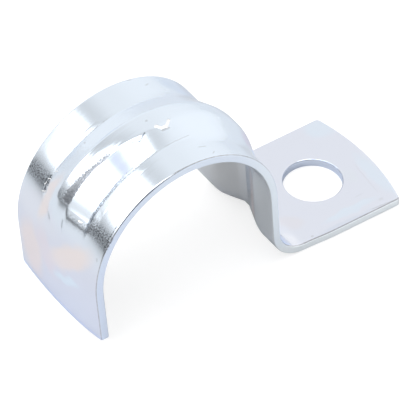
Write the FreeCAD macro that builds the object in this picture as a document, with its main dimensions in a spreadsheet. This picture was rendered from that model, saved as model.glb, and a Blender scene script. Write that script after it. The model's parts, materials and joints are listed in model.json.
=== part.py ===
import FreeCAD, Part
import Sketcher
import math
import os

# Driving sizes, in millimetres and degrees
SIZES = {
    "seat_radius": (14.8, "inside of the arch, a 1 inch conduit with a little play"),
    "shoulder_radius": (15.4, "inside of the shoulder, from the end of the rib to the foot"),
    "thickness": (1.3, "sheet steel"),
    "axis_height": (12.45, "conduit axis above the wall"),
    "strip_width": (21.0, "strip as it was sheared, at the flange"),
    "draw_in": (0.25, "each side of the strip over the conduit, drawn in by the rib"),
    "flare_lead": (0.4, "widening of the strip, begun before the end of the bend"),
    "flare_length": (6.0, "run in which the strip reaches its full width"),
    "foot_lean": (5.7, "foot, kicked in under the conduit"),
    "leg_lean": (4.0, "leg, opened by springback of the bend"),
    "bend_radius": (4.6, "hollow side of the bend"),
    "hole_gap": (4.19, "flat flange between the bend and the screw hole"),
    "hole_diameter": (9.0, "screw hole"),
    "end_gap": (3.9, "from the screw hole to the level of the flange's corners"),
    "end_bow": (1.55, "rise of the curved shear at both ends"),
    "rib_height": (1.63, "pressed rib above the strip"),
    "rib_flat": (1.2, "flat along the top of the rib"),
    "rib_slope": (20.0, "flanks of the rib"),
    "rib_foot_slope": (3.0, "slope at which the flanks meet the strip"),
    "rib_crest_round": (3.4, "outside rounding at the top of the flanks"),
    "rib_root_round": (4.0, "outside rounding at the foot of the flanks"),
    "rib_offset": (0.4, "rib towards the front from the middle of the strip"),
    "rib_start": (59.0, "from the top of the arch to the run-out of the rib"),
    "runout_radius": (5.8, "curve on which the rib sinks into the strip"),
    "runout_turn": (75.0, "turn of that curve"),
    "rib_bend_turn": (48.0, "turn of the bend that the rib follows"),
    "tail_sink": (0.3, "depth to which the rib's end is buried in the flange"),
    "corner_round": (0.7, "corners of the strip"),
    "edge_roll": (0.32, "edges rolled over by the die"),
    "hole_roll": (0.12, "rim of the screw hole on the punch side"),
    "edge_break": (0.1, "edges on the burr side"),
    "waste": (6.0, "stock cut away around and under the strip"),
}
size = {alias: value for alias, (value, note) in SIZES.items()}

# The two faces of the strip, as depths below its outside
OUTSIDE = "0"
INSIDE = "Sizes.thickness"

# Half the width of the strip at the flange and over the conduit
FLANGE_HALF = "Sizes.strip_width / 2"
BAND_HALF = "(Sizes.strip_width / 2 - Sizes.draw_in)"
flange_half = size["strip_width"] / 2
band_half = flange_half - size["draw_in"]

# Reach from the conduit axis to the end of the bend, the screw hole and the flange's corners
BEND_END = (
    "((Sizes.seat_radius + Sizes.thickness + Sizes.bend_radius) / cos(Sizes.leg_lean * 1 deg)"
    " + (Sizes.axis_height - Sizes.thickness - Sizes.bend_radius) * tan(Sizes.leg_lean * 1 deg))"
)
HOLE_REACH = f"({BEND_END} + Sizes.hole_gap + Sizes.hole_diameter / 2)"
FLANGE_REACH = f"({HOLE_REACH} + Sizes.hole_diameter / 2 + Sizes.end_gap)"

# Distance within which an edge counts as lying on a profile
TOUCH = 1e-4

START, END, CENTRE = range(1, 4)
ORIGIN = (-1, START)
LEVEL_AXIS, UPRIGHT_AXIS = range(-1, -3, -1)


def make_sheet(doc):
    """The sheet that holds every size, one alias a row."""
    sheet = doc.addObject("Spreadsheet::Sheet", "Sizes")
    for row, (alias, (value, note)) in enumerate(SIZES.items(), 1):
        sheet.set(f"A{row}", alias)
        sheet.set(f"B{row}", str(value))
        sheet.setAlias(f"B{row}", alias)
        sheet.set(f"C{row}", note)
    doc.recompute()


def new_sketch(body, name, role):
    """An empty sketch flat on one of the body's own planes."""
    sketch = body.newObject("Sketcher::SketchObject", name)
    plane = next(item for item in body.Origin.OriginFeatures if item.Role == role)
    sketch.AttachmentSupport = [(plane, "")]
    sketch.MapMode = "FlatFace"
    return sketch


def add_line(sketch, start, end):
    return sketch.addGeometry(Part.LineSegment(FreeCAD.Vector(*start), FreeCAD.Vector(*end)), False)


def add_arc(sketch, centre, radius, angle, other_angle):
    """A counterclockwise arc from the lower to the higher of two angles in degrees."""
    circle = Part.Circle(FreeCAD.Vector(*centre), FreeCAD.Vector(0, 0, 1), radius)
    first, last = sorted((math.radians(angle), math.radians(other_angle)))
    return sketch.addGeometry(Part.ArcOfCircle(circle, first, last), False)


def tie(sketch, kind, *where):
    sketch.addConstraint(Sketcher.Constraint(kind, *where))


def drive(sketch, name, expression, kind, *where):
    """A named dimension, bound to the sheet."""
    value = float(sketch.evalExpression(expression))
    if kind == "Angle":
        value = math.radians(value)
    number = sketch.addConstraint(Sketcher.Constraint(kind, *where, value))
    sketch.renameConstraint(number, name)
    sketch.setExpression(f"Constraints.{name}", expression)


def polar(centre, radius, angle):
    """The point at an angle in degrees on a circle."""
    turn = math.radians(angle)
    return centre[0] + radius * math.cos(turn), centre[1] + radius * math.sin(turn)


def arch_centre():
    return 0, size["axis_height"]


def arch_radius(below):
    return size["seat_radius"] + size["thickness"] - below


def shoulder_centre():
    """Centre of the shoulder, on the line from the arch's centre to where the rib ends."""
    return polar(arch_centre(), size["seat_radius"] - size["shoulder_radius"], 90 + size["rib_start"])


def bend_centre():
    """Centre of the bend between leg and flange, seen from the side."""
    height = size["thickness"] + size["bend_radius"]
    across = size["seat_radius"] + height
    lean = math.radians(size["leg_lean"])
    down = (size["axis_height"] + across * math.sin(lean) - height) / math.cos(lean)
    return across * math.cos(lean) + down * math.sin(lean), height


def hole_reach():
    """From the conduit axis to the centre of the screw hole."""
    return bend_centre()[0] + size["hole_gap"] + size["hole_diameter"] / 2


def flange_reach():
    """From the conduit axis to the level of the flange's corners."""
    return hole_reach() + size["hole_diameter"] / 2 + size["end_gap"]


def arch_to_bend(sketch, depth, arch_end, bend_turn):
    """Arch, leg and bend at a depth below the outside; both far ends stay free."""
    below = float(sketch.evalExpression(depth))
    bend_radius = size["bend_radius"] + below
    facing = 180 + size["leg_lean"]
    leg_top = polar(arch_centre(), arch_radius(below), size["leg_lean"])
    leg_bottom = polar(bend_centre(), bend_radius, facing)
    arch = add_arc(sketch, arch_centre(), arch_radius(below), size["leg_lean"], arch_end)
    leg = add_line(sketch, leg_bottom, leg_top)
    bend = add_arc(sketch, bend_centre(), bend_radius, facing, facing + bend_turn)
    tie(sketch, "Tangent", leg, END, arch, START)
    tie(sketch, "Tangent", leg, START, bend, START)
    tie(sketch, "PointOnObject", arch, CENTRE, UPRIGHT_AXIS)
    drive(sketch, "axis_height", "Sizes.axis_height", "DistanceY", *ORIGIN, arch, CENTRE)
    drive(sketch, "arch_radius", f"Sizes.seat_radius + Sizes.thickness - {depth}", "Radius", arch)
    drive(sketch, "leg_angle", "90 + Sizes.leg_lean", "Angle", leg)
    drive(sketch, "bend_radius", f"Sizes.bend_radius + {depth}", "Radius", bend)
    height = "Sizes.thickness + Sizes.bend_radius"
    drive(sketch, "bend_height", height, "DistanceY", *ORIGIN, bend, CENTRE)
    return arch, bend


def side_profile(body, name, depth):
    """Everything under one face of the strip, seen from the side."""
    sketch = new_sketch(body, name, "XZ_Plane")
    below = float(sketch.evalExpression(depth))
    foot_angle = 180 + size["foot_lean"]
    level = size["thickness"] - below
    floor = -size["waste"]
    far = flange_reach() + size["end_bow"] + size["waste"]
    rib_end = 90 + size["rib_start"]
    shoulder_radius = size["shoulder_radius"] + size["thickness"] - below
    foot_top = polar(shoulder_centre(), shoulder_radius, foot_angle)
    inward = (foot_top[1] - floor) * math.tan(math.radians(size["foot_lean"]))
    foot_bottom = (foot_top[0] + inward, floor)
    arch, bend = arch_to_bend(sketch, depth, rib_end, 90 - size["leg_lean"])
    shoulder = add_arc(sketch, shoulder_centre(), shoulder_radius, rib_end, foot_angle)
    flange = add_line(sketch, (bend_centre()[0], level), (far, level))
    end = add_line(sketch, (far, level), (far, floor))
    bottom = add_line(sketch, (far, floor), foot_bottom)
    foot = add_line(sketch, foot_bottom, foot_top)
    tie(sketch, "Tangent", flange, START, bend, END)
    tie(sketch, "Tangent", shoulder, START, arch, END)
    tie(sketch, "Tangent", foot, END, shoulder, END)
    tie(sketch, "Coincident", flange, END, end, START)
    tie(sketch, "Coincident", end, END, bottom, START)
    tie(sketch, "Coincident", bottom, END, foot, START)
    tie(sketch, "Horizontal", flange)
    tie(sketch, "Vertical", end)
    tie(sketch, "Horizontal", bottom)
    start = f"(Sizes.seat_radius + Sizes.thickness - {depth}) * sin(Sizes.rib_start * 1 deg)"
    drive(sketch, "rib_start", start, "DistanceX", arch, END, *ORIGIN)
    law = f"Sizes.shoulder_radius + Sizes.thickness - {depth}"
    drive(sketch, "shoulder_radius", law, "Radius", shoulder)
    drive(sketch, "foot_angle", "90 + Sizes.foot_lean", "Angle", foot)
    drive(sketch, "waste_under", "Sizes.waste", "DistanceY", bottom, START, *ORIGIN)
    reach = f"{FLANGE_REACH} + Sizes.end_bow + Sizes.waste"
    drive(sketch, "waste_beyond", reach, "DistanceX", *ORIGIN, end, START)
    return sketch


def rib_spine(body, name, depth):
    """Path of the rib at a depth below the outside: run-out, arch, leg, bend and tail."""
    sketch = new_sketch(body, name, "XZ_Plane")
    below = float(sketch.evalExpression(depth))
    rib_end = 90 + size["rib_start"]
    steep = size["leg_lean"] + size["rib_bend_turn"]
    runout_radius = size["runout_radius"] - below
    runout_centre = polar(arch_centre(), arch_radius(below) - runout_radius, rib_end)
    tail_top = polar(bend_centre(), size["bend_radius"] + below, 180 + steep)
    tail_end = polar(tail_top, size["bend_radius"], 270 + steep)
    arch, bend = arch_to_bend(sketch, depth, rib_end, size["rib_bend_turn"])
    runout = add_arc(sketch, runout_centre, runout_radius, rib_end, rib_end + size["runout_turn"])
    tail = add_line(sketch, tail_end, tail_top)
    tie(sketch, "Tangent", arch, END, runout, START)
    tie(sketch, "Tangent", tail, END, bend, END)
    start = f"(Sizes.seat_radius + Sizes.thickness - {depth}) * sin(Sizes.rib_start * 1 deg)"
    drive(sketch, "rib_start", start, "DistanceX", arch, END, *ORIGIN)
    drive(sketch, "runout_radius", f"Sizes.runout_radius - {depth}", "Radius", runout)
    drive(sketch, "runout_turn", "Sizes.runout_turn", "Angle", runout)
    drive(sketch, "tail_angle", "90 + Sizes.leg_lean + Sizes.rib_bend_turn", "Angle", tail)
    turned = "(Sizes.leg_lean + Sizes.rib_bend_turn) * 1 deg"
    fall = f"Sizes.bend_radius - (Sizes.bend_radius - Sizes.rib_height) * sin({turned})"
    drive(sketch, "tail_length", f"({fall} + Sizes.tail_sink) / cos({turned})", "Distance", tail)
    return sketch


def section_side(sketch, depth, side, word, crest):
    """One flank of the rib's section, from the crest down into the strip; returns its last line."""
    below = float(sketch.evalExpression(depth))
    base = size["axis_height"] + arch_radius(below)
    slope, foot_slope = math.radians(size["rib_slope"]), math.radians(size["rib_foot_slope"])
    crest_round = size["rib_crest_round"] - below
    root_round = size["rib_root_round"] + below
    crest_middle = (side * size["rib_flat"] / 2, base + size["rib_height"] - crest_round)
    flank_angle = 90 - side * size["rib_slope"]
    flank_top = polar(crest_middle, crest_round, flank_angle)
    flank_foot_level = base + root_round * (math.cos(foot_slope) - math.cos(slope))
    flank_run = (flank_top[1] - flank_foot_level) / math.tan(slope)
    flank_foot = (flank_top[0] + side * flank_run, flank_foot_level)
    root_middle = polar(flank_foot, root_round, flank_angle)
    root_end_angle = 270 - side * size["rib_foot_slope"]
    root_end = polar(root_middle, root_round, root_end_angle)
    crest_arc = add_arc(sketch, crest_middle, crest_round, 90, flank_angle)
    flank = add_line(sketch, flank_foot, flank_top)
    root_arc = add_arc(sketch, root_middle, root_round, flank_angle + 180, root_end_angle)
    wall = add_line(sketch, root_end, (root_end[0], base - size["thickness"]))
    crest_side, flank_side = (END, START) if side > 0 else (START, END)
    tie(sketch, "Tangent", crest, crest_side, crest_arc, crest_side)
    tie(sketch, "Tangent", flank, END, crest_arc, flank_side)
    tie(sketch, "Tangent", flank, START, root_arc, flank_side)
    tie(sketch, "Coincident", wall, START, root_arc, crest_side)
    tie(sketch, "Vertical", wall)
    drive(sketch, f"crest_round_{word}", f"Sizes.rib_crest_round - {depth}", "Radius", crest_arc)
    drive(sketch, f"root_round_{word}", f"Sizes.rib_root_round + {depth}", "Radius", root_arc)
    drive(sketch, f"crest_turn_{word}", "Sizes.rib_slope", "Angle", crest_arc)
    drive(sketch, f"root_turn_{word}", "Sizes.rib_slope - Sizes.rib_foot_slope", "Angle", root_arc)
    level = f"Sizes.axis_height + Sizes.seat_radius + Sizes.thickness - {depth}"
    drive(sketch, f"base_{word}", level, "DistanceY", *ORIGIN, wall, START)
    drive(sketch, f"depth_{word}", "Sizes.thickness", "Distance", wall)
    return wall


def rib_section(body, name, depth):
    """Section of the rib over a depth below the outside, at the top of the arch."""
    sketch = new_sketch(body, name, "YZ_Plane")
    below = float(sketch.evalExpression(depth))
    top = size["axis_height"] + arch_radius(below) + size["rib_height"]
    root = size["axis_height"] + arch_radius(below) - size["thickness"]
    half_flat = size["rib_flat"] / 2
    crest = add_line(sketch, (-half_flat, top), (half_flat, top))
    back_wall = section_side(sketch, depth, 1, "back", crest)
    front_wall = section_side(sketch, depth, -1, "front", crest)
    bottom = add_line(sketch, (half_flat, root), (-half_flat, root))
    tie(sketch, "Coincident", bottom, START, back_wall, END)
    tie(sketch, "Coincident", bottom, END, front_wall, END)
    tie(sketch, "Symmetric", crest, START, crest, END, UPRIGHT_AXIS)
    drive(sketch, "rib_flat", "Sizes.rib_flat", "Distance", crest)
    level = f"Sizes.axis_height + Sizes.seat_radius + Sizes.thickness + Sizes.rib_height - {depth}"
    drive(sketch, "crest_level", level, "DistanceY", *ORIGIN, crest, END)
    sketch.setExpression("AttachmentOffset.Base.x", "-Sizes.rib_offset")
    return sketch


def side_waste(body):
    """Sliver that comes off the back of the band, so that the flange stays wider."""
    sketch = new_sketch(body, "SideWaste", "XY_Plane")
    band, flange = band_half, flange_half
    begin, run = bend_centre()[0] - size["flare_lead"], size["flare_length"]
    radius = (run ** 2 + size["draw_in"] ** 2) / (4 * size["draw_in"])
    turn = math.degrees(math.asin(run / 2 / radius))
    far, wide = -flange_reach(), flange + size["waste"]
    edge = add_line(sketch, (far, band), (begin, band))
    hollow = add_arc(sketch, (begin, band + radius), radius, -90, turn - 90)
    hump = add_arc(sketch, (begin + run, flange - radius), radius, 90, 90 + turn)
    rise = add_line(sketch, (begin + run, flange), (begin + run, wide))
    top = add_line(sketch, (begin + run, wide), (far, wide))
    side = add_line(sketch, (far, wide), (far, band))
    tie(sketch, "Tangent", edge, END, hollow, START)
    tie(sketch, "Tangent", hollow, END, hump, END)
    tie(sketch, "Equal", hollow, hump)
    tie(sketch, "Vertical", rise)
    tie(sketch, "Horizontal", top)
    tie(sketch, "Vertical", side)
    tie(sketch, "Horizontal", edge)
    tie(sketch, "Coincident", hump, START, rise, START)
    tie(sketch, "Vertical", hump, START, hump, CENTRE)
    tie(sketch, "Coincident", rise, END, top, START)
    tie(sketch, "Coincident", top, END, side, START)
    tie(sketch, "Coincident", side, END, edge, START)
    drive(sketch, "band", BAND_HALF, "DistanceY", *ORIGIN, edge, START)
    drive(sketch, "flange", FLANGE_HALF, "DistanceY", *ORIGIN, hump, START)
    drive(sketch, "begin", f"{BEND_END} - Sizes.flare_lead", "DistanceX", *ORIGIN, edge, END)
    drive(sketch, "run", "Sizes.flare_length", "DistanceX", edge, END, hump, START)
    drive(sketch, "far", FLANGE_REACH, "DistanceX", edge, START, *ORIGIN)
    drive(sketch, "wide", "Sizes.waste", "Distance", rise)
    return sketch


def bow_law(half):
    """Radius of a curved shear across the strip, from half its width there."""
    return f"(({half}) ^ 2 + Sizes.end_bow ^ 2) / (2 * Sizes.end_bow)"


def flange_waste(body):
    """Stock beyond the bowed end of the flange, seen from above."""
    sketch = new_sketch(body, "FlangeWaste", "XY_Plane")
    law = bow_law(FLANGE_HALF)
    radius = float(sketch.evalExpression(law))
    tip = flange_reach() + size["end_bow"]
    far, wide = tip + 2 * size["waste"], flange_half + size["waste"]
    turn = math.degrees(math.asin(wide / radius))
    shear = add_arc(sketch, (tip - radius, 0), radius, -turn, turn)
    corner = polar((tip - radius, 0), radius, turn)
    back = add_line(sketch, corner, (far, wide))
    end = add_line(sketch, (far, wide), (far, -wide))
    front = add_line(sketch, (far, -wide), (corner[0], -wide))
    tie(sketch, "PointOnObject", shear, CENTRE, LEVEL_AXIS)
    tie(sketch, "Coincident", shear, END, back, START)
    tie(sketch, "Coincident", back, END, end, START)
    tie(sketch, "Coincident", end, END, front, START)
    tie(sketch, "Coincident", front, END, shear, START)
    tie(sketch, "Horizontal", back)
    tie(sketch, "Horizontal", front)
    tie(sketch, "Symmetric", end, START, end, END, LEVEL_AXIS)
    drive(sketch, "shear", law, "Radius", shear)
    centre = f"{FLANGE_REACH} + Sizes.end_bow - {law}"
    drive(sketch, "centre", centre, "DistanceX", *ORIGIN, shear, CENTRE)
    drive(sketch, "wide", f"{FLANGE_HALF} + Sizes.waste", "DistanceY", *ORIGIN, end, START)
    beyond = f"{FLANGE_REACH} + Sizes.end_bow + 2 * Sizes.waste"
    drive(sketch, "far", beyond, "DistanceX", *ORIGIN, end, START)
    return sketch


def foot_waste(body):
    """Stock under the bowed end of the foot, seen from the flange."""
    sketch = new_sketch(body, "FootWaste", "YZ_Plane")
    law = bow_law(BAND_HALF)
    radius = float(sketch.evalExpression(law))
    low, wide = -2 * size["waste"], band_half + size["waste"]
    turn = math.degrees(math.asin(wide / radius))
    shear = add_arc(sketch, (0, radius), radius, 270 - turn, 270 + turn)
    corner = polar((0, radius), radius, 270 + turn)
    back = add_line(sketch, corner, (wide, low))
    bottom = add_line(sketch, (wide, low), (-wide, low))
    front = add_line(sketch, (-wide, low), (-wide, corner[1]))
    tie(sketch, "PointOnObject", shear, CENTRE, UPRIGHT_AXIS)
    tie(sketch, "PointOnObject", *ORIGIN, shear)
    tie(sketch, "Coincident", shear, END, back, START)
    tie(sketch, "Coincident", back, END, bottom, START)
    tie(sketch, "Coincident", bottom, END, front, START)
    tie(sketch, "Coincident", front, END, shear, START)
    tie(sketch, "Vertical", back)
    tie(sketch, "Vertical", front)
    tie(sketch, "Symmetric", bottom, START, bottom, END, UPRIGHT_AXIS)
    drive(sketch, "shear", law, "Radius", shear)
    drive(sketch, "wide", f"{BAND_HALF} + Sizes.waste", "DistanceX", *ORIGIN, bottom, START)
    drive(sketch, "low", "2 * Sizes.waste", "DistanceY", bottom, START, *ORIGIN)
    return sketch


def screw_hole(body):
    sketch = new_sketch(body, "ScrewHole", "XY_Plane")
    centre = FreeCAD.Vector(hole_reach(), 0)
    circle = sketch.addGeometry(Part.Circle(centre, FreeCAD.Vector(0, 0, 1), size["hole_diameter"] / 2))
    tie(sketch, "PointOnObject", circle, CENTRE, LEVEL_AXIS)
    drive(sketch, "reach", HOLE_REACH, "DistanceX", *ORIGIN, circle, CENTRE)
    drive(sketch, "diameter", "Sizes.hole_diameter", "Diameter", circle)
    return sketch


def block_pad(body, profile):
    """A solid block under the outside of the strip, as wide as the flange."""
    pad = body.newObject("PartDesign::Pad", "Block")
    pad.Profile = profile
    pad.SideType = "Symmetric"
    pad.setExpression("Length", "Sizes.strip_width")


def sweep(body, name, kind, section, spine):
    """The rib, or the hollow under it, along its path."""
    pipe = body.newObject(kind, name)
    pipe.Profile = section
    pipe.Spine = (spine, [])


def cut(body, name, sketch, side_type="Symmetric"):
    """A pocket right through, both ways or away from the sketch's normal."""
    pocket = body.newObject("PartDesign::Pocket", name)
    pocket.Profile = sketch
    pocket.Type = "ThroughAll"
    pocket.SideType = side_type
    return pocket


def mirror_across(body, name, feature):
    """The same cut at the front of the strip."""
    mirror = body.newObject("PartDesign::Mirrored", name)
    mirror.Originals = [feature]
    plane = next(item for item in body.Origin.OriginFeatures if item.Role == "XZ_Plane")
    mirror.MirrorPlane = (plane, [""])
    body.Tip = mirror


def middle_of(edge):
    return edge.valueAt((edge.FirstParameter + edge.LastParameter) / 2)


def at_side(point):
    return abs(point.y) > band_half - TOUCH


def at_end(point):
    """Whether a point lies by the flange's end or the foot's end."""
    flange_end = point.x > flange_reach() - size["corner_round"]
    foot_end = point.x < 0 and point.z < size["end_bow"] + size["corner_round"]
    return flange_end or foot_end


def rim_edges(shape, profile):
    """Names of the sheared rim's edges that lie on one side profile."""
    names = []
    for number, edge in enumerate(shape.Edges, 1):
        middle = middle_of(edge)
        seen_from_side = Part.Vertex(middle.x, 0, middle.z)
        touches = profile.Shape.distToShape(seen_from_side)[0] < TOUCH
        if touches and (at_side(middle) or at_end(middle)):
            names.append(f"Edge{number}")
    return names


def corner_edges(shape):
    """Names of the four short edges through the thickness at the strip's corners."""
    names = []
    for number, edge in enumerate(shape.Edges, 1):
        middle = middle_of(edge)
        through = isinstance(edge.Curve, Part.Line) and edge.Length < 2 * size["thickness"]
        if through and at_side(middle) and at_end(middle):
            names.append(f"Edge{number}")
    return names


def hole_edges(shape):
    """Name of the screw hole's edge on the outside."""
    names = []
    for number, edge in enumerate(shape.Edges, 1):
        circle = isinstance(edge.Curve, Part.Circle) and edge.Closed
        if circle and abs(edge.CenterOfMass.z - size["thickness"]) < TOUCH:
            names.append(f"Edge{number}")
    return names


def dress_edges(body, name, kind, find, law, expression):
    """A fillet or a chamfer along the edges that a search picks from the shape so far."""
    body.Document.recompute()
    base = body.Tip
    dressing = body.newObject(kind, name)
    dressing.Base = (base, find(base.Shape))
    dressing.setExpression(law, expression)


def round_edges(body, name, find, expression):
    dress_edges(body, name, "PartDesign::Fillet", find, "Radius", expression)


def break_edges(body, name, find, expression):
    dress_edges(body, name, "PartDesign::Chamfer", find, "Size", expression)


def make_strap(doc):
    body = doc.addObject("PartDesign::Body", "strap")
    body.Label = "strap"
    outside = side_profile(body, "OutsideProfile", OUTSIDE)
    block_pad(body, outside)
    section = rib_section(body, "RibSection", OUTSIDE)
    sweep(body, "Rib", "PartDesign::AdditivePipe", section, rib_spine(body, "RibSpine", OUTSIDE))
    inside = side_profile(body, "InsideProfile", INSIDE)
    cut(body, "Inside", inside)
    section = rib_section(body, "HollowSection", INSIDE)
    sweep(body, "Hollow", "PartDesign::SubtractivePipe", section, rib_spine(body, "HollowSpine", INSIDE))
    sliver = cut(body, "BackSliver", side_waste(body))
    mirror_across(body, "FrontSliver", sliver)
    cut(body, "FlangeEnd", flange_waste(body))
    cut(body, "FootEnd", foot_waste(body), "One side")
    cut(body, "Hole", screw_hole(body))
    round_edges(body, "Corners", corner_edges, "Sizes.corner_round")
    round_edges(body, "DieSide", lambda shape: rim_edges(shape, outside), "Sizes.edge_roll")
    round_edges(body, "HoleEdge", hole_edges, "Sizes.hole_roll")
    break_edges(body, "BurrSide", lambda shape: rim_edges(shape, inside), "Sizes.edge_break")
    body.Placement = FreeCAD.Placement()
    body.setExpression("Placement.Base.x", f"-{HOLE_REACH}")
    return body


def check_document(doc):
    """Stops the build if any object failed."""
    for item in doc.Objects:
        bad = [state for state in item.State if state in ("Invalid", "Error")]
        if bad:
            raise RuntimeError(f"{item.Name} is {bad}")


def write_part(body):
    if body.Shape.isNull() or not body.Shape.isValid():
        raise RuntimeError(f"{body.Label} has no valid shape")
    os.makedirs("parts", exist_ok=True)
    body.Shape.exportStep(f"parts/{body.Label}.step")


doc = FreeCAD.newDocument("ConduitStrap")
make_sheet(doc)
strap = make_strap(doc)
doc.recompute()
check_document(doc)
write_part(strap)
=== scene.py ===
import json
import math

import bpy
from mathutils import Matrix, Vector

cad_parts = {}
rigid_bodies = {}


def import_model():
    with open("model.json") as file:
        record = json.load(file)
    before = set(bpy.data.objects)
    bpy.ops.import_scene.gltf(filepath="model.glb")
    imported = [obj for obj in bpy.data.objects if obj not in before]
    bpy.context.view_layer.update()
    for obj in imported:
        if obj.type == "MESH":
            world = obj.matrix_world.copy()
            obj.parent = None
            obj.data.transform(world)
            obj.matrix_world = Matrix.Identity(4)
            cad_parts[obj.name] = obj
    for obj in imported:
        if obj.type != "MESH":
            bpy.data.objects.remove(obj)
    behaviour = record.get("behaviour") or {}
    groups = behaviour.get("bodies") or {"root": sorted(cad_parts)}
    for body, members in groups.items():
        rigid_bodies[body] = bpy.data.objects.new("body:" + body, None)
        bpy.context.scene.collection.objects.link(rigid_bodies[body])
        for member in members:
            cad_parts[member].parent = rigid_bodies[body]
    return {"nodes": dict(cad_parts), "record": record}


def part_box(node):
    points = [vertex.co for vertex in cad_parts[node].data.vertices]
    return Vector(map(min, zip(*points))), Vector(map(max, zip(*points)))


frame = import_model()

MM = 0.001
WHITE = (1.0, 1.0, 1.0)
# Factors that flatten a place into the wall's plane and into the side view
IN_PLAN = (1.0, 1.0, 0.0)
IN_PROFILE = (1.0, 0.0, 1.0)


# Sizes read from the frame: places in metres, radii in millimetres

def mount(name):
    """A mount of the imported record."""
    return next(item for item in frame["record"]["mounts"] if item["name"] == name)


SEAT = mount("conduit_seat")
AXIS = Vector(SEAT["pos_m"])
SEAT_RADIUS = SEAT["dims"]["r_mm"]
HOLE_RADIUS = mount("screw_hole")["dims"]["r_mm"]
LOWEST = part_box("strap")[0]
# The sheet's thickness, as part of the arch's outside radius, in millimetres
THICKNESS = 1.3


# Camera, solved from the photograph

PICTURE = 416
FOCAL_PIXELS = 6855
PIXEL_AT_AXIS = 0.1459 * MM
AXIS_PIXEL = (148.0, 205.97)
CAMERA_AZIMUTH, CAMERA_ELEVATION, CAMERA_ROLL = -35.67, 44.13, 0.73
SENSOR_MM = 36


def camera_frame():
    """The camera's right, up and back directions."""
    azimuth, elevation, roll = map(math.radians, (CAMERA_AZIMUTH, CAMERA_ELEVATION, CAMERA_ROLL))
    level = math.cos(elevation)
    back = Vector((math.sin(azimuth) * level, -math.cos(azimuth) * level, math.sin(elevation)))
    right = Vector((math.cos(azimuth), math.sin(azimuth), 0))
    up = back.cross(right)
    right_rolled = math.cos(roll) * right + math.sin(roll) * up
    up_rolled = math.cos(roll) * up - math.sin(roll) * right
    return right_rolled, up_rolled, back


def make_camera():
    right, up, back = camera_frame()
    data = bpy.data.cameras.new("camera")
    data.sensor_width = SENSOR_MM
    data.lens = FOCAL_PIXELS / PICTURE * SENSOR_MM
    distance = FOCAL_PIXELS * PIXEL_AT_AXIS
    across = (PICTURE / 2 - AXIS_PIXEL[0]) * PIXEL_AT_AXIS
    down = (PICTURE / 2 - AXIS_PIXEL[1]) * PIXEL_AT_AXIS
    camera = bpy.data.objects.new("camera", data)
    camera.location = AXIS + across * right - down * up + distance * back
    camera.rotation_mode = "QUATERNION"
    camera.rotation_quaternion = Matrix((right, up, back)).transposed().to_quaternion()
    data.clip_start, data.clip_end = distance / 10, distance * 10
    bpy.context.collection.objects.link(camera)
    bpy.context.scene.camera = camera


# Small helpers for node trees

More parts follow.
